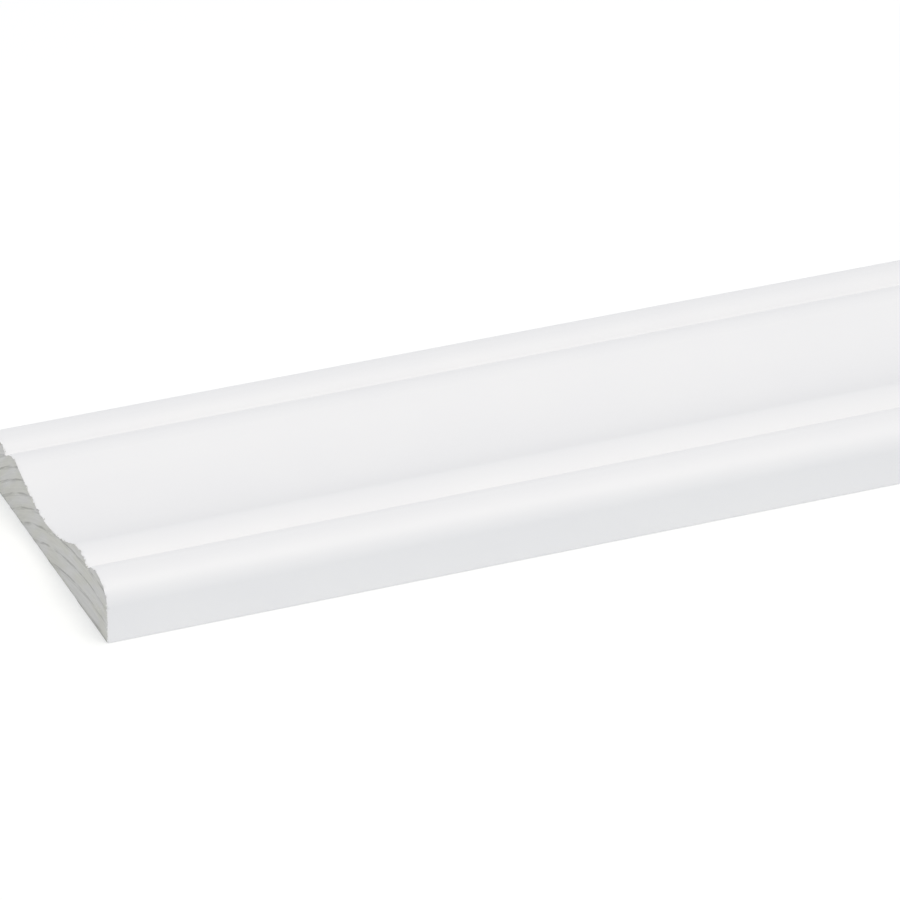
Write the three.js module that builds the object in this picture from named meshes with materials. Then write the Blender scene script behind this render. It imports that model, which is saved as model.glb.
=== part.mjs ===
// A length of primed softwood moulding, cut square at both ends and lying on its flat back.
// Lengths are in millimetres, +Z is up, +X runs along the moulding and +Y across its width.
// The origin is the centre of the flat back.
import * as THREE from 'three';

// Overall size
const LENGTH = 200;
const WIDTH = 69;
const THICKNESS = 12;

// Long edges: a square face with a soft corner at the back and a rounded nose at the front
const BACK_CORNER_RADIUS = 0.4;
const EDGE_FACE_HEIGHT = 7.6;
const NOSE_WIDTH = 6;

// Raised border: a short level crown, then a shoulder that rolls down into the quirk
const CROWN_END = 6.8;
const SHOULDER_RADIUS = 5.4;
const QUIRK_RADIUS = 0.6;

// Bead beside the quirk, the straight flank it falls away in, and the broad hollow in the middle
const BEAD_FROM_EDGE = 16;
const BEAD_HEIGHT = 11.95;
const BEAD_RADIUS = 7.5;
const FLANK_SLOPE = THREE.MathUtils.degToRad(22.5);
const HOLLOW_HEIGHT = 7.55;

// Facets of the curved faces
const LONGEST_FACET = 1.2;
const WIDEST_FACET_ANGLE = THREE.MathUtils.degToRad(9);

// Finish
const PRIMER_WHITE = 0xf1f2f3;
const PRIMER_ROUGHNESS = 0.55;

const LEFT = Math.PI;
const UP = Math.PI / 2;
const DOWN = -Math.PI / 2;

// One curved stretch of the section, as an ellipse or circle swept between two angles
function sweep(centre, width, height, startAngle, endAngle, clockwise) {
  return { centre, width, height, startAngle, endAngle, clockwise };
}

// The same stretch on the other side of the centre line, walked the same way round
function mirrored(stretch) {
  return {
    ...stretch,
    centre: new THREE.Vector2(-stretch.centre.x, stretch.centre.y),
    startAngle: Math.PI - stretch.endAngle,
    endAngle: Math.PI - stretch.startAngle,
  };
}

function angleBetween(from, to) {
  return Math.atan2(to.y - from.y, to.x - from.x);
}

// Centre of the small hollow that touches two round bodies and sits above them
function quirkCentre(shoulder, bead) {
  const shoulderReach = SHOULDER_RADIUS + QUIRK_RADIUS;
  const beadReach = BEAD_RADIUS + QUIRK_RADIUS;
  const gap = shoulder.distanceTo(bead);
  const along = (shoulderReach ** 2 - beadReach ** 2 + gap ** 2) / (2 * gap);
  const above = Math.sqrt(shoulderReach ** 2 - along ** 2);
  const direction = bead.clone().sub(shoulder).normalize();
  const normal = new THREE.Vector2(-direction.y, direction.x);
  return shoulder.clone().addScaledVector(direction, along).addScaledVector(normal, above);
}

// Radius of the broad hollow that meets both flanks without a corner
function hollowRadius() {
  const halfSpan = WIDTH / 2 - BEAD_FROM_EDGE;
  const depth = BEAD_HEIGHT - HOLLOW_HEIGHT;
  const sine = Math.sin(FLANK_SLOPE);
  const cosine = Math.cos(FLANK_SLOPE);
  return (halfSpan * sine - depth * cosine) / (1 - cosine) - BEAD_RADIUS;
}

// The section's curved stretches in order: one border and bead, the hollow, and the mirror image
function sectionStretches() {
  const edge = -WIDTH / 2;
  const corner = new THREE.Vector2(edge + BACK_CORNER_RADIUS, BACK_CORNER_RADIUS);
  const nose = new THREE.Vector2(edge + NOSE_WIDTH, EDGE_FACE_HEIGHT);
  const shoulder = new THREE.Vector2(edge + CROWN_END, THICKNESS - SHOULDER_RADIUS);
  const bead = new THREE.Vector2(edge + BEAD_FROM_EDGE, BEAD_HEIGHT - BEAD_RADIUS);
  const quirk = quirkCentre(shoulder, bead);
  const radius = hollowRadius();
  const hollow = new THREE.Vector2(0, HOLLOW_HEIGHT + radius);
  const noseHeight = THICKNESS - EDGE_FACE_HEIGHT;
  const overShoulder = angleBetween(shoulder, quirk);
  const overBead = angleBetween(quirk, bead);
  const flank = UP - FLANK_SLOPE;
  const side = [
    sweep(corner, BACK_CORNER_RADIUS, BACK_CORNER_RADIUS, DOWN, LEFT, true),
    sweep(nose, NOSE_WIDTH, noseHeight, LEFT, UP, true),
    sweep(shoulder, SHOULDER_RADIUS, SHOULDER_RADIUS, UP, overShoulder, true),
    sweep(quirk, QUIRK_RADIUS, QUIRK_RADIUS, overShoulder - Math.PI, overBead, false),
    sweep(bead, BEAD_RADIUS, BEAD_RADIUS, overBead + Math.PI, flank, true),
  ];
  const middle = sweep(hollow, radius, radius, flank - Math.PI, -flank, false);
  return [...side, middle, ...side.map(mirrored).reverse()];
}

// Points along one stretch, close enough together for smooth facets
function facetPoints(stretch) {
  const { centre, width, height, startAngle, endAngle, clockwise } = stretch;
  const curve = new THREE.EllipseCurve(
    centre.x, centre.y, width, height, startAngle, endAngle, clockwise,
  );
  const turned = clockwise ? startAngle - endAngle : endAngle - startAngle;
  const angle = THREE.MathUtils.euclideanModulo(turned, 2 * Math.PI);
  const byLength = curve.getLength() / LONGEST_FACET;
  return curve.getPoints(Math.ceil(Math.max(byLength, angle / WIDEST_FACET_ANGLE)));
}

// The closed section: width along the shape's x and thickness along its y
function sectionShape() {
  const points = sectionStretches().flatMap(facetPoints);
  const apart = points.filter((point, i) => i === 0 || point.distanceTo(points[i - 1]) > 1e-6);
  return new THREE.Shape(apart);
}

// The moulding itself, its section run along X
function makeMoulding() {
  const geometry = new THREE.ExtrudeGeometry(sectionShape(), { depth: LENGTH, bevelEnabled: false });
  const primer = new THREE.MeshStandardMaterial({
    color: PRIMER_WHITE,
    roughness: PRIMER_ROUGHNESS,
    metalness: 0,
  });
  const moulding = new THREE.Mesh(geometry, primer);
  moulding.name = 'moulding';
  moulding.rotation.set(Math.PI / 2, Math.PI / 2, 0);
  moulding.position.x = -LENGTH / 2;
  return moulding;
}

const group = new THREE.Group();
group.add(makeMoulding());

export default group;
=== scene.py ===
"""Looks of a length of primed softwood moulding: its body, finishes, floor, light and camera.

Lengths are in metres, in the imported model's frame: +X runs along the moulding, +Y across its
width and +Z up, with the origin at the centre of the flat back.
"""
import logging
import math
from dataclasses import dataclass
from enum import Enum

import bpy
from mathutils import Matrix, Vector


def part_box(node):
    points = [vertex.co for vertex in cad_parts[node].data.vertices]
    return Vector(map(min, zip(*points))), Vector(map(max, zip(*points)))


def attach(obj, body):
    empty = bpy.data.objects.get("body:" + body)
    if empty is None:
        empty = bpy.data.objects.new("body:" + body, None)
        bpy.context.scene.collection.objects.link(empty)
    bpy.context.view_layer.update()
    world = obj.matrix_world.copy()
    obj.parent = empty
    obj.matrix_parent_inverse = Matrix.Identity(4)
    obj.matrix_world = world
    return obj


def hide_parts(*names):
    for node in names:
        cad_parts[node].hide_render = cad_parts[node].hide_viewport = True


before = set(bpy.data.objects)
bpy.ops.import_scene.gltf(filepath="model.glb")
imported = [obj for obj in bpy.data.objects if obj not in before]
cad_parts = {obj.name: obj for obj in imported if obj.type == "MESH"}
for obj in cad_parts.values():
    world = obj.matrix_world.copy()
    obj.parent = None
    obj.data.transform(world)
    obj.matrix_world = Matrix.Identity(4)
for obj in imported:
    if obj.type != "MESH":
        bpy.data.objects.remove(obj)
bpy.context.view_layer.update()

log = logging.getLogger("moulding")

MM = 0.001
NODE = "moulding"
BODY = "root"
PIECE = "primed_moulding"

# Attributes on the mesh: the surface that a face belongs to, the distance to the outline of the
# section, which the sawn end's finish reads, and the distance to its shaped side alone
ZONE = "zone"
OUTLINE_GAP = "outline_gap"
SHAPED_GAP = "shaped_gap"

# Points of the section that are closer together than this are one point
SAME_POINT = 0.0001 * MM

# Distance between two bands of Blender's wave texture at a scale of 1
WAVE_PITCH = 0.314

# What can be linked to a node's input
Source = bpy.types.Node | bpy.types.NodeSocket


class Zone(Enum):
    """The three kinds of surface on the moulding, numbered as the mesh stores them."""

    SHAPED_FACE = 0
    SAWN_END = 1
    PLANED_BACK = 2

    @property
    def label(self) -> str:
        """Name the input of the body's node tree that holds this surface's finish."""
        return self.name.replace("_", " ").title()


def linear(code: str) -> tuple[float, float, float, float]:
    """Turn an sRGB colour code into Blender's linear colour.

    Args:
        code: Six hexadecimal digits, red first.

    Returns:
        Linear red, green and blue, and an alpha of 1.
    """
    parts = [int(code[i:i + 2], 16) / 255 for i in (0, 2, 4)]
    curved = [c / 12.92 if c <= 0.04045 else ((c + 0.055) / 1.055) ** 2.4 for c in parts]
    return (*curved, 1.0)


def add_node(
    tree: bpy.types.NodeTree,
    kind: str,
    inputs: dict[str | int, object] | None = None,
    **settings: object,
) -> bpy.types.Node:
    """Add one node to a tree, with its settings, values and links.

    Args:
        tree: The node tree that the node joins.
        kind: Blender's type name for the node.
        inputs: A value, a socket, or a node whose first output is meant, for each input.
        settings: The node's own properties.

    Returns:
        The new node.
    """
    node = tree.nodes.new(kind)
    for name, value in settings.items():
        setattr(node, name, value)
    for key, value in (inputs or {}).items():
        source = value.outputs[0] if isinstance(value, bpy.types.Node) else value
        if isinstance(source, bpy.types.NodeSocket):
            tree.links.new(source, node.inputs[key])
        else:
            node.inputs[key].default_value = source
    return node


def bare_material(name: str) -> bpy.types.Material:
    """Start a material whose node tree is still empty.

    Args:
        name: What the material is called.

    Returns:
        The new material.
    """
    material = bpy.data.materials.new(name)
    material.use_nodes = True
    material.node_tree.nodes.clear()
    return material


@dataclass(frozen=True)
class Stretch:
    """One curved stretch of the section: a circle or ellipse swept between two angles.

    Its width and height are the curve's radii across and up.
    """

    centre: Vector
    width: float
    height: float
    start: float
    end: float

    def mirrored(self) -> "Stretch":
        """Return the same stretch on the other side of the centre line, walked the same way."""
        centre = Vector((-self.centre.x, self.centre.y))
        return Stretch(centre, self.width, self.height, math.pi - self.end, math.pi - self.start)

    def points(self, longest: float, widest: float) -> list[Vector]:
        """Place points along the stretch.

        Args:
            longest: Longest distance between two points.
            widest: Widest angle between two points, seen from the centre.

        Returns:
            The points in order, both ends included.
        """
        turn = self.end - self.start
        length = abs(turn) * (self.width + self.height) / 2
        count = math.ceil(max(length / longest, abs(turn) / widest))
        angles = [self.start + turn * i / count for i in range(count + 1)]
        return [
            self.centre + Vector((self.width * math.cos(a), self.height * math.sin(a)))
            for a in angles
        ]


def heading(start: Vector, end: Vector) -> float:
    """Return the angle of the line from one point to another, in radians."""
    return math.atan2(end.y - start.y, end.x - start.x)


@dataclass
class Section:
    """The moulding's section, in the plane of its width (x) and thickness (y)."""

    width: float
    thickness: float
    back_corner: float = 0.4 * MM
    edge_face: float = 7.6 * MM
    nose_width: float = 6.0 * MM
    crown_end: float = 6.8 * MM
    shoulder_radius: float = 5.4 * MM
    quirk_radius: float = 0.6 * MM
    bead_from_edge: float = 16.0 * MM
    bead_height: float = 11.95 * MM
    bead_radius: float = 7.5 * MM
    flank_slope: float = math.radians(22.5)
    hollow_height: float = 7.55 * MM
    facet: float = 0.5 * MM
    facet_angle: float = math.radians(5.0)

    def quirk_centre(self, shoulder: Vector, bead: Vector) -> Vector:
        """Find the centre of the small hollow that touches the shoulder and the bead.

        Args:
            shoulder: Centre of the shoulder's circle.
            bead: Centre of the bead's circle.

        Returns:
            The centre that lies above the two circles.
        """
        to_shoulder = self.shoulder_radius + self.quirk_radius
        to_bead = self.bead_radius + self.quirk_radius
        gap = (bead - shoulder).length
        along = (to_shoulder**2 - to_bead**2 + gap**2) / (2 * gap)
        above = math.sqrt(to_shoulder**2 - along**2)
        line = (bead - shoulder).normalized()
        return shoulder + line * along + Vector((-line.y, line.x)) * above

    def hollow_radius(self) -> float:
        """Find the radius of the hollow that a straight flank joins to the bead's crest.

        Returns:
            The radius for which crest, flank and hollow just fill the bead's half of the width.
        """
        span = self.width / 2 - self.bead_from_edge
        depth = self.bead_height - self.hollow_height
        sine, cosine = math.sin(self.flank_slope), math.cos(self.flank_slope)
        return (span * sine - depth * cosine) / (1 - cosine) - self.bead_radius

    def stretches(self) -> list[Stretch]:
        """Lay out the shaped face's curves from one edge to the other.

        Returns:
            Nose, shoulder, quirk and bead, the hollow, and the same four mirrored.
        """
        edge = -self.width / 2
        nose = Vector((edge + self.nose_width, self.edge_face))
        shoulder = Vector((edge + self.crown_end, self.thickness - self.shoulder_radius))
        bead = Vector((edge + self.bead_from_edge, self.bead_height - self.bead_radius))
        quirk = self.quirk_centre(shoulder, bead)
        hollow_radius = self.hollow_radius()
        hollow = Vector((0.0, self.hollow_height + hollow_radius))
        nose_height = self.thickness - self.edge_face
        over_shoulder = heading(shoulder, quirk)
        over_bead = heading(quirk, bead)
        flank = math.pi / 2 - self.flank_slope
        side = [
            Stretch(nose, self.nose_width, nose_height, math.pi, math.pi / 2),
            self.round(shoulder, self.shoulder_radius, math.pi / 2, over_shoulder),
            self.round(quirk, self.quirk_radius, over_shoulder - math.pi, over_bead),
            self.round(bead, self.bead_radius, over_bead + math.pi, flank),
        ]
        middle = self.round(hollow, hollow_radius, flank - math.pi, -flank)
        return [*side, middle, *(stretch.mirrored() for stretch in reversed(side))]

    @staticmethod
    def round(centre: Vector, radius: float, start: float, end: float) -> Stretch:
        """Return a stretch of a circle."""
        return Stretch(centre, radius, radius, start, end)

    def points(self) -> list[Vector]:
        """Return the shaped face's points from edge to edge, with none repeated."""
        spread = [
            point
            for stretch in self.stretches()
            for point in stretch.points(self.facet, self.facet_angle)
        ]
        apart = [q for p, q in zip(spread, spread[1:]) if (q - p).length > SAME_POINT]
        return [spread[0], *apart]


@dataclass(frozen=True)
class GrowthRings:
    """The tree's rings through this board, as cylinders round a pith that lies below the back.

    The rings close up a little towards the bark, as they do in slow-grown pine.
    """

    # Place of the pith across and up at mid-length, and how far it leans in a metre's run
    pith: tuple[float, float] = (-25.1 * MM, -86.8 * MM)
    lean: tuple[float, float] = (0.030, -0.022)
    # Radius of the ring with number 0, how close the rings lie there, and how that grows outwards
    first_radius: float = 88.96 * MM
    rings_per_metre: float = 295.0
    tightening: float = 3500.0
    wander: float = 0.3 * MM
    wander_length: float = 60 * MM
    wander_width: float = 6 * MM
    # Shares of a ring's width at which the latewood starts, is full, and starts to fade
    late_start: float = 0.64
    late_full: float = 0.95
    late_fade: float = 0.94

    def phase(self, tree: bpy.types.NodeTree, position: Source) -> bpy.types.Node:
        """Number the rings through a point, with a whole number at each ring's dark line.

        Args:
            tree: A shader or geometry tree.
            position: The point, as a node or socket, in the object's own frame.

        Returns:
            The node whose first output is the ring number.
        """
        x, y, z = add_node(tree, "ShaderNodeSeparateXYZ", {0: position}).outputs
        sideways = add_node(
            tree, "ShaderNodeMath", {0: x, 1: -self.lean[0], 2: -self.pith[0]},
            operation="MULTIPLY_ADD",
        )
        upwards = add_node(
            tree, "ShaderNodeMath", {0: x, 1: -self.lean[1], 2: -self.pith[1]},
            operation="MULTIPLY_ADD",
        )
        across = add_node(tree, "ShaderNodeMath", {0: y, 1: sideways}, operation="ADD")
        up = add_node(tree, "ShaderNodeMath", {0: z, 1: upwards}, operation="ADD")
        spoke = add_node(tree, "ShaderNodeCombineXYZ", {1: across, 2: up})
        radius = add_node(tree, "ShaderNodeVectorMath", {0: spoke}, operation="LENGTH")
        along, over = 1 / self.wander_length, 1 / self.wander_width
        stretched = add_node(
            tree, "ShaderNodeVectorMath", {0: position, 1: (along, over, over)},
            operation="MULTIPLY",
        )
        drift = add_node(
            tree, "ShaderNodeTexNoise", {"Vector": stretched, "Scale": 1.0, "Detail": 2.0}
        )
        wander = add_node(
            tree, "ShaderNodeMath",
            {0: drift.outputs[0], 1: self.wander, 2: -self.first_radius - self.wander / 2},
            operation="MULTIPLY_ADD",
        )
        depth = add_node(
            tree, "ShaderNodeMath", {0: radius.outputs["Value"], 1: wander}, operation="ADD"
        )
        rate = add_node(
            tree, "ShaderNodeMath", {0: depth, 1: self.tightening, 2: self.rings_per_metre},
            operation="MULTIPLY_ADD",
        )
        return add_node(tree, "ShaderNodeMath", {0: depth, 1: rate}, operation="MULTIPLY")

    def latewood(self, tree: bpy.types.NodeTree, phase: bpy.types.Node) -> bpy.types.Node:
        """Return the share of dense latewood, rising slowly through a ring and ending at once.

        Args:
            tree: A shader or geometry tree.
            phase: The node that numbers the rings.

        Returns:
            The node whose first output goes from 0 in earlywood to 1 in latewood.
        """
        part = add_node(tree, "ShaderNodeMath", {0: phase}, operation="FRACT")
        rise = add_node(
            tree, "ShaderNodeMapRange", {0: part, 1: self.late_start, 2: self.late_full},
            interpolation_type="SMOOTHSTEP",
        )
        fall = add_node(
            tree, "ShaderNodeMapRange", {0: part, 1: self.late_fade, 2: 1.0, 3: 1.0, 4: 0.0},
            interpolation_type="SMOOTHSTEP",
        )
        return add_node(tree, "ShaderNodeMath", {0: rise, 1: fall}, operation="MULTIPLY")


@dataclass(frozen=True)
class SprayedPrimer:
    """Acrylic wood primer, sprayed on in the factory and lightly denibbed.

    It gives the eye an even, cool white with a soft satin sheen, a trace of orange peel and
    the faintest raised grain running along the wood.
    """

    name: str = "sprayed_acrylic_primer"
    white: str = "F0F0F0"
    shade: str = "EDEDEE"
    roughness: float = 0.5
    sheen_swing: float = 0.04
    ior: float = 1.5
    mottle: float = 14 * MM
    peel: float = 0.9 * MM
    peel_height: float = 0.003 * MM
    grain_length: float = 45 * MM
    grain_width: float = 0.9 * MM
    grain_height: float = 0.004 * MM

    def material(self) -> bpy.types.Material:
        """Build the finish.

        Returns:
            A material of its own, with its node tree.
        """
        material = bare_material(self.name)
        tree = material.node_tree
        where = add_node(tree, "ShaderNodeTexCoord").outputs["Object"]
        mottle = add_node(
            tree, "ShaderNodeTexNoise", {"Vector": where, "Scale": 1 / self.mottle, "Detail": 3.0}
        )
        colour = add_node(
            tree, "ShaderNodeMix",
            {0: mottle.outputs[0], 6: linear(self.shade), 7: linear(self.white)},
            data_type="RGBA",
        )
        sheen = add_node(
            tree, "ShaderNodeMapRange",
            {
                0: mottle.outputs[0],
                3: self.roughness + self.sheen_swing, 4: self.roughness - self.sheen_swing,
            },
        )
        peel = add_node(
            tree, "ShaderNodeTexNoise", {"Vector": where, "Scale": 1 / self.peel, "Detail": 1.0}
        )
        along, over = 1 / self.grain_length, 1 / self.grain_width
        streaks = add_node(
            tree, "ShaderNodeVectorMath", {0: where, 1: (along, over, over)}, operation="MULTIPLY"
        )
        grain = add_node(
            tree, "ShaderNodeTexNoise", {"Vector": streaks, "Scale": 1.0, "Detail": 2.0}
        )
        raised = add_node(
            tree, "ShaderNodeBump", {"Distance": self.grain_height, "Height": grain.outputs[0]}
        )
        surface = add_node(
            tree, "ShaderNodeBump",
            {"Distance": self.peel_height, "Height": peel.outputs[0], "Normal": raised},
        )
        shader = add_node(
            tree, "ShaderNodeBsdfPrincipled",
            {
                "Base Color": colour.outputs[2], "Roughness": sheen, "IOR": self.ior,
                "Normal": surface,
            },
        )
        add_node(tree, "ShaderNodeOutputMaterial", {"Surface": shader})
        return material


@dataclass(frozen=True)
class SawnEndGrain:
    """Pine cut across by a fine saw and misted with a thin coat of primer.

    The open end grain drinks the coat, so it stays a dull grey-white. The dense latewood of
    each ring shows as a darker line that the saw has smeared and broken, a little resin yellows
    the coat, the film of the face shows as a pale rim, and a ragged band along the back edge is
    darker.
    """

    rings: GrowthRings
    name: str = "primer_mist_on_sawn_pine"
    earlywood: str = "D9D8D4"
    pores: str = "C3C2BF"
    latewood: str = "AAA9A5"
    resin: str = "FBFBF6"
    film: str = "F0F0EE"
    back_edge_dark: str = "8C8C86"
    roughness: float = 0.8
    ior: float = 1.5
    streaks_per_ring: float = 7.0
    streak_length: float = 5 * MM
    patches_per_ring: float = 0.8
    patch_length: float = 9 * MM
    fleck: float = 0.35 * MM
    film_thickness: float = 0.22 * MM
    thinnest_film: float = 0.02 * MM
    back_edge_height: float = 0.45 * MM
    tear_height: float = 0.06 * MM
    tear_strength: float = 0.5
    fleck_relief: float = 0.5
    # Limits of the noise between which a ring's line breaks up, and how dark it is at each
    line_noise: tuple[float, float] = (0.40, 0.60)
    line_share: tuple[float, float] = (1.1, 0.1)
    # Limits of the noise between which the resin sets in
    resin_noise: tuple[float, float] = (0.40, 0.60)
    # Limits of the noise between which the rim of film grows to its full thickness
    film_noise: tuple[float, float] = (0.36, 0.60)
    # Limits of the noise between which a crumb of film appears
    crumb_noise: tuple[float, float] = (0.70, 0.74)
    crumb_share: float = 0.8
    # How far the noise moves the darker band along the back edge, and where that band is full and
    # gone, in band heights
    back_edge_swing: float = 3.0
    back_edge_limits: tuple[float, float] = (-1.6, -1.0)
    back_edge_share: float = 0.9

    def material(self) -> bpy.types.Material:
        """Build the finish.

        Returns:
            A material of its own, with its node tree.
        """
        material = bare_material(self.name)
        tree = material.node_tree
        where = add_node(tree, "ShaderNodeTexCoord").outputs["Object"]
        shares = add_node(tree, "ShaderNodeSeparateXYZ", {0: where})
        phase = self.rings.phase(tree, where)
        latewood = self.rings.latewood(tree, phase)
        streaks = self.drawn_noise(tree, phase, shares, self.streaks_per_ring, self.streak_length)
        patches = self.drawn_noise(tree, phase, shares, self.patches_per_ring, self.patch_length)
        fleck = add_node(
            tree, "ShaderNodeTexNoise", {"Vector": where, "Scale": 1 / self.fleck, "Detail": 2.0}
        )
        open_grain = add_node(
            tree, "ShaderNodeMix",
            {0: streaks, 6: linear(self.pores), 7: linear(self.earlywood)},
            data_type="RGBA",
        )
        smeared = add_node(
            tree, "ShaderNodeMapRange",
            {
                0: streaks, 1: self.line_noise[0], 2: self.line_noise[1],
                3: self.line_share[0], 4: self.line_share[1],
            },
        )
        line = add_node(tree, "ShaderNodeMath", {0: latewood, 1: smeared}, operation="MULTIPLY")
        ringed = add_node(
            tree, "ShaderNodeMix",
            {0: line, 6: open_grain.outputs[2], 7: linear(self.latewood)},
            data_type="RGBA",
        )
        yellowed = add_node(
            tree, "ShaderNodeMapRange",
            {0: patches, 1: self.resin_noise[0], 2: self.resin_noise[1]},
            interpolation_type="SMOOTHSTEP",
        )
        tinted = add_node(
            tree, "ShaderNodeMix",
            {0: yellowed, 6: ringed.outputs[2], 7: linear(self.resin)},
            data_type="RGBA", blend_type="MULTIPLY",
        )
        gap = add_node(tree, "ShaderNodeAttribute", attribute_name=OUTLINE_GAP).outputs["Fac"]
        # Darker colour in a ragged band along the back edge, thinning out upwards
        back_edge_darkened = add_node(
            tree, "ShaderNodeMix",
            {0: self.back_edge_darkening(tree, streaks, shares), 6: tinted.outputs[2], 7: linear(self.back_edge_dark)},
            data_type="RGBA",
        )
        colour = add_node(
            tree, "ShaderNodeMix",
            {0: self.rim(tree, gap, fleck), 6: back_edge_darkened.outputs[2], 7: linear(self.film)},
            data_type="RGBA",
        )
        torn = add_node(
            tree, "ShaderNodeMath", {0: fleck, 1: self.fleck_relief, 2: latewood},
            operation="MULTIPLY_ADD",
        )
        relief = add_node(
            tree, "ShaderNodeBump",
            {"Distance": self.tear_height, "Height": torn, "Strength": self.tear_strength},
        )
        shader = add_node(
            tree, "ShaderNodeBsdfPrincipled",
            {
                "Base Color": colour.outputs[2], "Roughness": self.roughness, "IOR": self.ior,
                "Normal": relief,
            },
        )
        add_node(tree, "ShaderNodeOutputMaterial", {"Surface": shader})
        return material

    def drawn_noise(
        self,
        tree: bpy.types.NodeTree,
        phase: bpy.types.Node,
        shares: bpy.types.Node,
        per_ring: float,
        length: float,
    ) -> bpy.types.Node:
        """Draw noise out along the rings.

        Args:
            tree: The material's node tree.
            phase: The node that numbers the rings.
            shares: The position, split into its three parts.
            per_ring: How often the noise changes across one ring.
            length: How far a streak runs along the ring.

        Returns:
            The noise node.
        """
        across = add_node(tree, "ShaderNodeMath", {0: phase, 1: per_ring}, operation="MULTIPLY")
        along = add_node(
            tree, "ShaderNodeMath", {0: shares.outputs[1], 1: 1 / length}, operation="MULTIPLY"
        )
        drawn = add_node(
            tree, "ShaderNodeCombineXYZ", {0: across, 1: along, 2: shares.outputs[0]}
        )
        return add_node(
            tree, "ShaderNodeTexNoise", {"Vector": drawn, "Scale": 1.0, "Detail": 2.0}
        )

    def back_edge_darkening(
        self, tree: bpy.types.NodeTree, streaks: bpy.types.Node, shares: bpy.types.Node
    ) -> bpy.types.Node:
        """Mark the ragged band along the back edge where the colour turns darker.

        Args:
            tree: The material's node tree.
            streaks: The noise that breaks the band up.
            shares: The position, split into its three parts.

        Returns:
            The node whose first output is the share of the darker colour.
        """
        ragged = add_node(
            tree, "ShaderNodeMath",
            {0: streaks, 1: -self.back_edge_swing * self.back_edge_height, 2: shares.outputs[2]},
            operation="MULTIPLY_ADD",
        )
        full, gone = (limit * self.back_edge_height for limit in self.back_edge_limits)
        return add_node(
            tree, "ShaderNodeMapRange", {0: ragged, 1: full, 2: gone, 3: self.back_edge_share, 4: 0.0}
        )

    def rim(
        self, tree: bpy.types.NodeTree, gap: bpy.types.NodeSocket, fleck: bpy.types.Node
    ) -> bpy.types.Node:
        """Mark the edge of the face's film, where the saw has left it whole, and its crumbs.

        Args:
            tree: The material's node tree.
            gap: The distance to the section's outline.
            fleck: Fine noise that breaks the rim up.

        Returns:
            The node whose first output is 1 on the film and 0 on the wood.
        """
        reach = add_node(
            tree, "ShaderNodeMapRange",
            {
                0: fleck, 1: self.film_noise[0], 2: self.film_noise[1],
                3: self.thinnest_film, 4: self.film_thickness,
            },
            clamp=False,
        )
        whole = add_node(tree, "ShaderNodeMath", {0: gap, 1: reach}, operation="LESS_THAN")
        crumbs = add_node(
            tree, "ShaderNodeMapRange",
            {0: fleck, 1: self.crumb_noise[0], 2: self.crumb_noise[1], 4: self.crumb_share},
        )
        return add_node(tree, "ShaderNodeMath", {0: whole, 1: crumbs}, operation="MAXIMUM")


@dataclass(frozen=True)
class PlanedBack:
    """The flat back of the pine, planed by a cutter block and given one thin coat.

    The grain shows through as long soft streaks, with the cutter's faint ripples across them.
    """

    rings: GrowthRings
    name: str = "thin_primer_on_planed_pine"
    coat: str = "E4E3DD"
    grain: str = "D5D1C2"
    roughness: float = 0.65
    ior: float = 1.5
    ripple_pitch: float = 1.6 * MM
    ripple_wobble: float = 0.6
    ripple_height: float = 0.006 * MM
    grain_height: float = 0.02 * MM

    def material(self) -> bpy.types.Material:
        """Build the finish.

        Returns:
            A material of its own, with its node tree.
        """
        material = bare_material(self.name)
        tree = material.node_tree
        where = add_node(tree, "ShaderNodeTexCoord").outputs["Object"]
        latewood = self.rings.latewood(tree, self.rings.phase(tree, where))
        colour = add_node(
            tree, "ShaderNodeMix",
            {0: latewood, 6: linear(self.coat), 7: linear(self.grain)},
            data_type="RGBA",
        )
        ripple = add_node(
            tree, "ShaderNodeTexWave",
            {
                "Vector": where, "Scale": WAVE_PITCH / self.ripple_pitch,
                "Distortion": self.ripple_wobble,
            },
            wave_type="BANDS", bands_direction="X",
        )
        rippled = add_node(
            tree, "ShaderNodeBump",
            {"Distance": self.ripple_height, "Height": ripple.outputs["Fac"]},
        )
        surface = add_node(
            tree, "ShaderNodeBump",
            {"Distance": self.grain_height, "Height": latewood, "Normal": rippled},
        )
        shader = add_node(
            tree, "ShaderNodeBsdfPrincipled",
            {
                "Base Color": colour.outputs[2], "Roughness": self.roughness, "IOR": self.ior,
                "Normal": surface,
            },
        )
        add_node(tree, "ShaderNodeOutputMaterial", {"Surface": shader})
        return material


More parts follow.
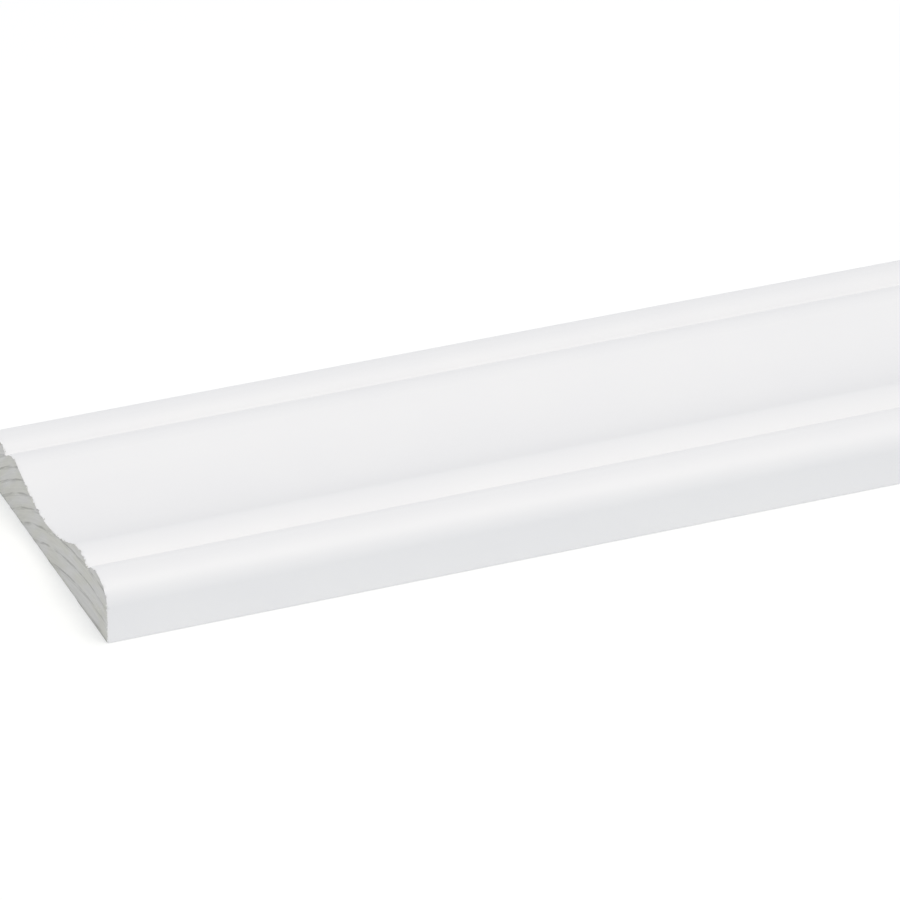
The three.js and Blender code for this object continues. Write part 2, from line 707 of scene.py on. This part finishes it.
@dataclass
class MouldingBody:
    """The one solid piece, swept from its section by a node tree and cut by the saw."""

    section: Section
    rings: GrowthRings
    length: float
    slices: int = 150
    rows: int = 30
    # Shares of even spacing: the other slices gather at the ends, and the other rows at the back
    # and the shaped face
    end_share: float = 0.15
    row_share: float = 0.25
    ripple_depth: float = 0.09 * MM
    ripple_length: float = 45 * MM
    ripple_width: float = 7 * MM
    # Heights above the back at which the ripples start and are full
    ripple_start: float = 0.5 * MM
    ripple_full: float = 3.0 * MM
    ring_relief: float = 0.05 * MM
    # Distance from an end within which a vertex counts as lying on the cut
    end_skin: float = 0.01 * MM
    chip_depth: float = 0.45 * MM
    chip_reach: float = 0.7 * MM
    chip_size: float = 1.0 * MM
    # Limits of the noise between which the edge goes from whole to broken
    chip_noise: tuple[float, float] = (0.45, 0.64)
    # Share of its distance to a long edge that a point counts as its gap to the outline
    edge_wrap: float = 0.35
    seed: float = 3.0
    crease: float = math.radians(35)

    def inputs(self, columns: int) -> dict[str, tuple[str, object]]:
        """Name the tree's inputs.

        Args:
            columns: How many points the drawn section has.

        Returns:
            A socket type and a value for each input name.
        """
        sizes = {
            "Length": self.length,
            "Width": self.section.width,
            "Back Corner": self.section.back_corner,
            "End Share": self.end_share,
            "Row Share": self.row_share,
            "Ripple Depth": self.ripple_depth,
            "Ring Relief": self.ring_relief,
            "Chip Depth": self.chip_depth,
            "Chip Reach": self.chip_reach,
            "Seed": self.seed,
        }
        counts = {"Slices": self.slices, "Columns": columns, "Rows": self.rows}
        finishes = {
            Zone.SHAPED_FACE.label: SprayedPrimer().material(),
            Zone.SAWN_END.label: SawnEndGrain(self.rings).material(),
            Zone.PLANED_BACK.label: PlanedBack(self.rings).material(),
        }
        return {
            **{name: ("NodeSocketFloat", value) for name, value in sizes.items()},
            **{name: ("NodeSocketInt", value) for name, value in counts.items()},
            **{name: ("NodeSocketMaterial", value) for name, value in finishes.items()},
        }

    def reach(
        self, tree: bpy.types.NodeTree, given: bpy.types.Node, block: bpy.types.Node
    ) -> bpy.types.Node:
        """Spread the slices along the moulding.

        Args:
            tree: The geometry tree.
            given: The tree's input node.
            block: The vertex's place in the unit block, split into its three parts.

        Returns:
            The node for the vertex's x.
        """
        turn = add_node(
            tree, "ShaderNodeMath", {0: block.outputs[0], 1: math.pi}, operation="MULTIPLY"
        )
        eased = add_node(tree, "ShaderNodeMath", {0: turn}, operation="SINE")
        even = add_node(
            tree, "ShaderNodeMath", {0: block.outputs[0], 1: 2.0}, operation="MULTIPLY"
        )
        share = add_node(
            tree, "ShaderNodeMix", {0: given.outputs["End Share"], 2: eased, 3: even}
        )
        half = add_node(
            tree, "ShaderNodeMath", {0: given.outputs["Length"], 1: 0.5}, operation="MULTIPLY"
        )
        return add_node(tree, "ShaderNodeMath", {0: share, 1: half}, operation="MULTIPLY")

    def drawn_point(
        self, tree: bpy.types.NodeTree, given: bpy.types.Node, block: bpy.types.Node
    ) -> bpy.types.Node:
        """Look up the point of the drawn section that tops each column of vertices.

        Args:
            tree: The geometry tree.
            given: The tree's input node.
            block: The vertex's place in the unit block, split into its three parts.

        Returns:
            The point, split into its three parts.
        """
        last = add_node(
            tree, "ShaderNodeMath", {0: given.outputs["Columns"], 1: 1.0}, operation="SUBTRACT"
        )
        share = add_node(tree, "ShaderNodeMath", {0: block.outputs[1], 1: 0.5}, operation="ADD")
        column = add_node(tree, "ShaderNodeMath", {0: share, 1: last}, operation="MULTIPLY")
        index = add_node(tree, "FunctionNodeFloatToInt", {0: column}, rounding_mode="ROUND")
        drawn = add_node(
            tree, "GeometryNodeSampleIndex",
            {
                "Geometry": given.outputs["Geometry"],
                "Value": add_node(tree, "GeometryNodeInputPosition"),
                "Index": index,
            },
            data_type="FLOAT_VECTOR", domain="POINT",
        )
        return add_node(tree, "ShaderNodeSeparateXYZ", {0: drawn})

    def height(
        self,
        tree: bpy.types.NodeTree,
        given: bpy.types.Node,
        block: bpy.types.Node,
        outline: bpy.types.Node,
    ) -> bpy.types.Node:
        """Spread the rows from the back up to the shaped face.

        Args:
            tree: The geometry tree.
            given: The tree's input node.
            block: The vertex's place in the unit block, split into its three parts.
            outline: The point of the drawn section above it, split likewise.

        Returns:
            The node for the vertex's z.
        """
        even = add_node(tree, "ShaderNodeMath", {0: block.outputs[2], 1: 0.5}, operation="ADD")
        turn = add_node(
            tree, "ShaderNodeMath", {0: block.outputs[2], 1: math.pi}, operation="MULTIPLY"
        )
        sine = add_node(tree, "ShaderNodeMath", {0: turn}, operation="SINE")
        eased = add_node(
            tree, "ShaderNodeMath", {0: sine, 1: 0.5, 2: 0.5}, operation="MULTIPLY_ADD"
        )
        share = add_node(
            tree, "ShaderNodeMix", {0: given.outputs["Row Share"], 2: eased, 3: even}
        )
        return add_node(
            tree, "ShaderNodeMath", {0: outline.outputs[2], 1: share}, operation="MULTIPLY"
        )

    def kept_width(
        self,
        tree: bpy.types.NodeTree,
        given: bpy.types.Node,
        half_width: bpy.types.Node,
        z: bpy.types.Node,
    ) -> bpy.types.Node:
        """Draw the sides in round the back corners.

        Args:
            tree: The geometry tree.
            given: The tree's input node.
            half_width: The node for half of the full width.
            z: The node for the vertex's z.

        Returns:
            The node for the share of the full width that is left at this height.
        """
        corner = given.outputs["Back Corner"]
        low = add_node(tree, "ShaderNodeMath", {0: z, 1: corner}, operation="MINIMUM")
        left = add_node(tree, "ShaderNodeMath", {0: corner, 1: low}, operation="SUBTRACT")
        left_squared = add_node(tree, "ShaderNodeMath", {0: left, 1: 2.0}, operation="POWER")
        corner_squared = add_node(tree, "ShaderNodeMath", {0: corner, 1: 2.0}, operation="POWER")
        chord = add_node(
            tree, "ShaderNodeMath", {0: corner_squared, 1: left_squared}, operation="SUBTRACT"
        )
        rounded = add_node(tree, "ShaderNodeMath", {0: chord}, operation="SQRT")
        inset = add_node(tree, "ShaderNodeMath", {0: corner, 1: rounded}, operation="SUBTRACT")
        loss = add_node(tree, "ShaderNodeMath", {0: inset, 1: half_width}, operation="DIVIDE")
        return add_node(tree, "ShaderNodeMath", {0: 1.0, 1: loss}, operation="SUBTRACT")

    def place(self, tree: bpy.types.NodeTree, given: bpy.types.Node) -> dict[str, bpy.types.Node]:
        """Work out where each vertex of the unit block goes on the moulding.

        Args:
            tree: The geometry tree.
            given: The tree's input node.

        Returns:
            The nodes for the placed position, for the gap to the section's outline and for the
            gap to its shaped side alone.
        """
        block = add_node(
            tree, "ShaderNodeSeparateXYZ", {0: add_node(tree, "GeometryNodeInputPosition")}
        )
        outline = self.drawn_point(tree, given, block)
        half_width = add_node(
            tree, "ShaderNodeMath", {0: given.outputs["Width"], 1: 0.5}, operation="MULTIPLY"
        )
        x = self.reach(tree, given, block)
        z = self.height(tree, given, block, outline)
        keep = self.kept_width(tree, given, half_width, z)
        y = add_node(
            tree, "ShaderNodeMath", {0: outline.outputs[1], 1: keep}, operation="MULTIPLY"
        )
        above = add_node(
            tree, "ShaderNodeMath", {0: outline.outputs[2], 1: z}, operation="SUBTRACT"
        )
        aside = add_node(tree, "ShaderNodeMath", {0: y}, operation="ABSOLUTE")
        beside = add_node(tree, "ShaderNodeMath", {0: half_width, 1: aside}, operation="SUBTRACT")
        wrapped = add_node(
            tree, "ShaderNodeMath", {0: beside, 1: self.edge_wrap}, operation="MULTIPLY"
        )
        gap = add_node(tree, "ShaderNodeMath", {0: above, 1: wrapped}, operation="MINIMUM")
        spot = add_node(tree, "ShaderNodeCombineXYZ", {0: x, 1: y, 2: z})
        return {"spot": spot, OUTLINE_GAP: gap, SHAPED_GAP: above}

    def zone(self, tree: bpy.types.NodeTree) -> bpy.types.Node:
        """Number each face of the unit block by the surface it becomes.

        Args:
            tree: The geometry tree.

        Returns:
            The node whose first output is a Zone's number.
        """
        normal = add_node(
            tree, "ShaderNodeSeparateXYZ", {0: add_node(tree, "GeometryNodeInputNormal")}
        )
        halfway = 0.5
        facing = add_node(tree, "ShaderNodeMath", {0: normal.outputs[0]}, operation="ABSOLUTE")
        end = add_node(tree, "ShaderNodeMath", {0: facing, 1: halfway}, operation="GREATER_THAN")
        back = add_node(
            tree, "ShaderNodeMath", {0: normal.outputs[2], 1: -halfway}, operation="LESS_THAN"
        )
        return add_node(
            tree, "ShaderNodeMath",
            {0: back, 1: float(Zone.PLANED_BACK.value), 2: end},
            operation="MULTIPLY_ADD",
        )

    def ripples(
        self, tree: bpy.types.NodeTree, given: bpy.types.Node, position: bpy.types.Node
    ) -> bpy.types.Node:
        """Work out the slow ripples that the cutter leaves along the face and its edges.

        Args:
            tree: The geometry tree.
            given: The tree's input node.
            position: The vertex's position.

        Returns:
            The node for their depth.
        """
        height = add_node(tree, "ShaderNodeSeparateXYZ", {0: position}).outputs[2]
        seed = given.outputs["Seed"]
        seeded = add_node(tree, "ShaderNodeCombineXYZ", {0: seed, 1: seed})
        along, over = 1 / self.ripple_length, 1 / self.ripple_width
        stretched = add_node(
            tree, "ShaderNodeVectorMath", {0: position, 1: (along, over, over), 2: seeded},
            operation="MULTIPLY_ADD",
        )
        slow = add_node(
            tree, "ShaderNodeTexNoise", {"Vector": stretched, "Scale": 1.0, "Detail": 1.0}
        )
        raised = add_node(
            tree, "ShaderNodeMapRange", {0: height, 1: self.ripple_start, 2: self.ripple_full}
        )
        share = add_node(tree, "ShaderNodeMath", {0: slow, 1: raised}, operation="MULTIPLY")
        return add_node(
            tree, "ShaderNodeMath", {0: share, 1: given.outputs["Ripple Depth"]},
            operation="MULTIPLY",
        )

    def sunk_earlywood(
        self,
        tree: bpy.types.NodeTree,
        given: bpy.types.Node,
        position: bpy.types.Node,
        from_end: bpy.types.Node,
    ) -> bpy.types.Node:
        """Work out how far the saw leaves the soft earlywood below the latewood on the ends.

        Args:
            tree: The geometry tree.
            given: The tree's input node.
            position: The vertex's position.
            from_end: The node for the distance to the nearer end.

        Returns:
            The node for its depth, which is nothing away from the ends.
        """
        at_end = add_node(
            tree, "ShaderNodeMath", {0: from_end, 1: self.end_skin}, operation="LESS_THAN"
        )
        latewood = self.rings.latewood(tree, self.rings.phase(tree, position))
        earlywood = add_node(tree, "ShaderNodeMath", {0: 1.0, 1: latewood}, operation="SUBTRACT")
        relief = add_node(
            tree, "ShaderNodeMath", {0: earlywood, 1: given.outputs["Ring Relief"]},
            operation="MULTIPLY",
        )
        return add_node(tree, "ShaderNodeMath", {0: relief, 1: at_end}, operation="MULTIPLY")

    def chips(
        self,
        tree: bpy.types.NodeTree,
        given: bpy.types.Node,
        position: bpy.types.Node,
        from_end: bpy.types.Node,
    ) -> bpy.types.Node:
        """Work out the small chips that break out where the shaped face meets a sawn end.

        Args:
            tree: The geometry tree.
            given: The tree's input node.
            position: The vertex's position.
            from_end: The node for the distance to the nearer end.

        Returns:
            The node for their depth.
        """
        gap = add_node(
            tree, "GeometryNodeInputNamedAttribute", {"Name": SHAPED_GAP}, data_type="FLOAT"
        )
        inland = add_node(tree, "ShaderNodeMath", {0: gap, 1: from_end}, operation="MAXIMUM")
        edge = add_node(
            tree, "ShaderNodeMapRange",
            {0: inland, 1: 0.0, 2: given.outputs["Chip Reach"], 3: 1.0, 4: 0.0},
            interpolation_type="SMOOTHSTEP",
        )
        grit = add_node(
            tree, "ShaderNodeTexNoise",
            {"Vector": position, "Scale": 1 / self.chip_size, "Detail": 2.0},
        )
        broken = add_node(
            tree, "ShaderNodeMapRange", {0: grit, 1: self.chip_noise[0], 2: self.chip_noise[1]},
            interpolation_type="SMOOTHSTEP",
        )
        share = add_node(tree, "ShaderNodeMath", {0: edge, 1: broken}, operation="MULTIPLY")
        return add_node(
            tree, "ShaderNodeMath", {0: share, 1: given.outputs["Chip Depth"]},
            operation="MULTIPLY",
        )

    def wear(self, tree: bpy.types.NodeTree, given: bpy.types.Node) -> bpy.types.Node:
        """Work out how far each vertex sinks below the perfect surface.

        Args:
            tree: The geometry tree.
            given: The tree's input node.

        Returns:
            The node whose first output is the offset.
        """
        position = add_node(tree, "GeometryNodeInputPosition")
        x = add_node(tree, "ShaderNodeSeparateXYZ", {0: position}).outputs[0]
        distance = add_node(tree, "ShaderNodeMath", {0: x}, operation="ABSOLUTE")
        half = add_node(
            tree, "ShaderNodeMath", {0: given.outputs["Length"], 1: 0.5}, operation="MULTIPLY"
        )
        from_end = add_node(tree, "ShaderNodeMath", {0: half, 1: distance}, operation="SUBTRACT")
        ripples = self.ripples(tree, given, position)
        sunk = self.sunk_earlywood(tree, given, position, from_end)
        chips = self.chips(tree, given, position, from_end)
        machined = add_node(tree, "ShaderNodeMath", {0: ripples, 1: sunk}, operation="ADD")
        depth = add_node(tree, "ShaderNodeMath", {0: machined, 1: chips}, operation="ADD")
        inward = add_node(tree, "ShaderNodeMath", {0: depth, 1: -1.0}, operation="MULTIPLY")
        return add_node(
            tree, "ShaderNodeVectorMath",
            {0: add_node(tree, "GeometryNodeInputNormal"), "Scale": inward},
            operation="SCALE",
        )

    def tree(self, inputs: dict[str, tuple[str, object]]) -> bpy.types.NodeTree:
        """Build the node tree that sweeps the drawn section into the finished body.

        Args:
            inputs: A socket type and a value for each input name.

        Returns:
            The geometry tree.
        """
        tree = bpy.data.node_groups.new("moulding_run", "GeometryNodeTree")
        interface = tree.interface
        interface.new_socket("Geometry", in_out="OUTPUT", socket_type="NodeSocketGeometry")
        interface.new_socket("Geometry", in_out="INPUT", socket_type="NodeSocketGeometry")
        for name, (kind, _) in inputs.items():
            interface.new_socket(name, in_out="INPUT", socket_type=kind)
        given = add_node(tree, "NodeGroupInput")
        block = add_node(
            tree, "GeometryNodeMeshCube",
            {
                "Size": (1.0, 1.0, 1.0), "Vertices X": given.outputs["Slices"],
                "Vertices Y": given.outputs["Columns"], "Vertices Z": given.outputs["Rows"],
            },
        )
        zoned = add_node(
            tree, "GeometryNodeStoreNamedAttribute",
            {"Geometry": block, "Name": ZONE, "Value": self.zone(tree)},
            data_type="INT", domain="FACE",
        )
        placed = self.place(tree, given)
        measured = zoned
        for name in (OUTLINE_GAP, SHAPED_GAP):
            measured = add_node(
                tree, "GeometryNodeStoreNamedAttribute",
                {"Geometry": measured, "Name": name, "Value": placed[name]},
                data_type="FLOAT", domain="POINT",
            )
        swept = add_node(
            tree, "GeometryNodeSetPosition", {"Geometry": measured, "Position": placed["spot"]}
        )
        worn = add_node(
            tree, "GeometryNodeSetPosition", {"Geometry": swept, "Offset": self.wear(tree, given)}
        )
        dressed = add_node(tree, "GeometryNodeRealizeInstances", {"Geometry": worn})
        stored = add_node(
            tree, "GeometryNodeInputNamedAttribute", {"Name": ZONE}, data_type="INT"
        )
        for zone in Zone:
            chosen = add_node(
                tree, "FunctionNodeCompare", {2: stored, 3: zone.value},
                data_type="INT", operation="EQUAL",
            )
            dressed = add_node(
                tree, "GeometryNodeSetMaterial",
                {"Geometry": dressed, "Selection": chosen, "Material": given.outputs[zone.label]},
            )
        add_node(tree, "NodeGroupOutput", {"Geometry": dressed})
        return tree

    def build(self) -> bpy.types.Object:
        """Draw the section, sweep it, and keep the result as a plain mesh.

        Returns:
            The finished piece, at the origin.
        """
        outline = [(0.0, point.x, point.y) for point in self.section.points()]
        drawn = bpy.data.meshes.new("drawn_section")
        drawn.from_pydata(outline, [], [])
        piece = bpy.data.objects.new(PIECE, drawn)
        bpy.context.scene.collection.objects.link(piece)
        inputs = self.inputs(len(outline))
        modifier = piece.modifiers.new("run", "NODES")
        tree = self.tree(inputs)
        modifier.node_group = tree
        for item in tree.interface.items_tree:
            if item.in_out == "INPUT" and item.name in inputs:
                modifier[item.identifier] = inputs[item.name][1]
        bpy.context.view_layer.update()
        depsgraph = bpy.context.evaluated_depsgraph_get()
        mesh = bpy.data.meshes.new_from_object(piece.evaluated_get(depsgraph))
        piece.modifiers.remove(modifier)
        piece.data = mesh
        mesh.name = PIECE
        mesh.polygons.foreach_set("use_smooth", [True] * len(mesh.polygons))
        mesh.set_sharp_from_angle(angle=self.crease)
        bpy.data.meshes.remove(drawn)
        return piece

    def fit(self, piece: bpy.types.Object) -> None:
        """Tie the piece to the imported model.

        Args:
            piece: The finished piece.
        """
        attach(piece, BODY)
        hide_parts(NODE)


def direction(azimuth: float, elevation: float) -> Vector:
    """Point from the moulding towards something seen round it.

    Args:
        azimuth: Degrees round from the near side, positive towards +X.
        elevation: Degrees above the floor.

    Returns:
        A unit vector.
    """
    around, up = math.radians(azimuth), math.radians(elevation)
    return Vector(
        (math.sin(around) * math.cos(up), -math.cos(around) * math.cos(up), math.sin(up))
    )


@dataclass(frozen=True)
class SoftBox:
    """A square studio light that faces the moulding."""

    name: str
    azimuth: float
    elevation: float
    distance: float
    side: float
    power: float
    tint: str

    def place(self) -> None:
        """Hang the light at its distance from the moulding, facing it."""
        light = bpy.data.lights.new(self.name, "AREA")
        light.shape = "SQUARE"
        light.size = self.side
        light.energy = self.power
        light.color = linear(self.tint)[:3]
        lamp = bpy.data.objects.new(self.name, light)
        outward = direction(self.azimuth, self.elevation)
        lamp.location = outward * self.distance
        lamp.rotation_mode = "QUATERNION"
        lamp.rotation_quaternion = outward.to_track_quat("Z", "Y")
        bpy.context.scene.collection.objects.link(lamp)


@dataclass(frozen=True)
class Studio:
    """A pale floor, an even glow, one soft box and the camera."""

    floor_side: float = 8.0
    floor_white: str = "DFE0DF"
    floor_glow: float = 0.29
    floor_roughness: float = 0.9
    sky: str = "F3F7FF"
    sky_strength: float = 0.66
    lens: float = 253.7
    sensor: float = 36.0
    camera_azimuth: float = -22.2
    camera_elevation: float = 28.48
    camera_distance: float = 1229.4 * MM
    camera_aim: tuple[float, float, float] = (-13.7 * MM, 10.9 * MM, 0.0)
    nearest_seen: float = 0.05
    farthest_seen: float = 50.0
    overhead: SoftBox = SoftBox(
        name="overhead", azimuth=12.0, elevation=79.0, distance=1.6, side=1.0, power=11.9,
        tint="FFF8EC",
    )

    def lay_floor(self) -> None:
        """Lay the floor at the height of the moulding's back."""
        half = self.floor_side / 2
        mesh = bpy.data.meshes.new("floor")
        corners = [(-half, -half, 0.0), (half, -half, 0.0), (half, half, 0.0), (-half, half, 0.0)]
        mesh.from_pydata(corners, [], [(0, 1, 2, 3)])
        material = bare_material("matt_white_card")
        tree = material.node_tree
        shader = add_node(
            tree, "ShaderNodeBsdfPrincipled",
            {
                "Base Color": linear(self.floor_white), "Roughness": self.floor_roughness,
                "Specular IOR Level": 0.0, "Emission Strength": self.floor_glow,
            },
        )
        add_node(tree, "ShaderNodeOutputMaterial", {"Surface": shader})
        mesh.materials.append(material)
        floor = bpy.data.objects.new("floor", mesh)
        bpy.context.scene.collection.objects.link(floor)

    def light(self) -> None:
        """Set the sky's even glow and hang the soft box."""
        world = bpy.data.worlds.new("studio_glow")
        world.use_nodes = True
        tree = world.node_tree
        tree.nodes.clear()
        glow = add_node(
            tree, "ShaderNodeBackground",
            {"Color": linear(self.sky), "Strength": self.sky_strength},
        )
        add_node(tree, "ShaderNodeOutputWorld", {"Surface": glow})
        bpy.context.scene.world = world
        self.overhead.place()

    def aim_camera(self) -> None:
        """Set the camera where the photograph was taken from."""
        data = bpy.data.cameras.new("camera")
        data.lens = self.lens
        data.sensor_width = self.sensor
        data.clip_start = self.nearest_seen
        data.clip_end = self.farthest_seen
        camera = bpy.data.objects.new("camera", data)
        back = direction(self.camera_azimuth, self.camera_elevation)
        camera.location = Vector(self.camera_aim) + back * self.camera_distance
        camera.rotation_mode = "QUATERNION"
        camera.rotation_quaternion = back.to_track_quat("Z", "Y")
        bpy.context.scene.collection.objects.link(camera)
        bpy.context.scene.camera = camera


def main() -> None:
    """Build the camera, the moulding and its surroundings, and report each piece."""
    logging.basicConfig(level=logging.INFO, format="%(name)s: %(message)s")
    bpy.context.scene.view_settings.view_transform = "Standard"
    studio = Studio()
    studio.aim_camera()
    studio.lay_floor()
    studio.light()
    low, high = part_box(NODE)
    section = Section(width=high.y - low.y, thickness=high.z - low.z)
    body = MouldingBody(section=section, rings=GrowthRings(), length=high.x - low.x)
    piece = body.build()
    body.fit(piece)
    mesh = piece.data
    log.info("%s: %d vertices, %d faces", piece.name, len(mesh.vertices), len(mesh.polygons))


if __name__ == "__main__":
    main()
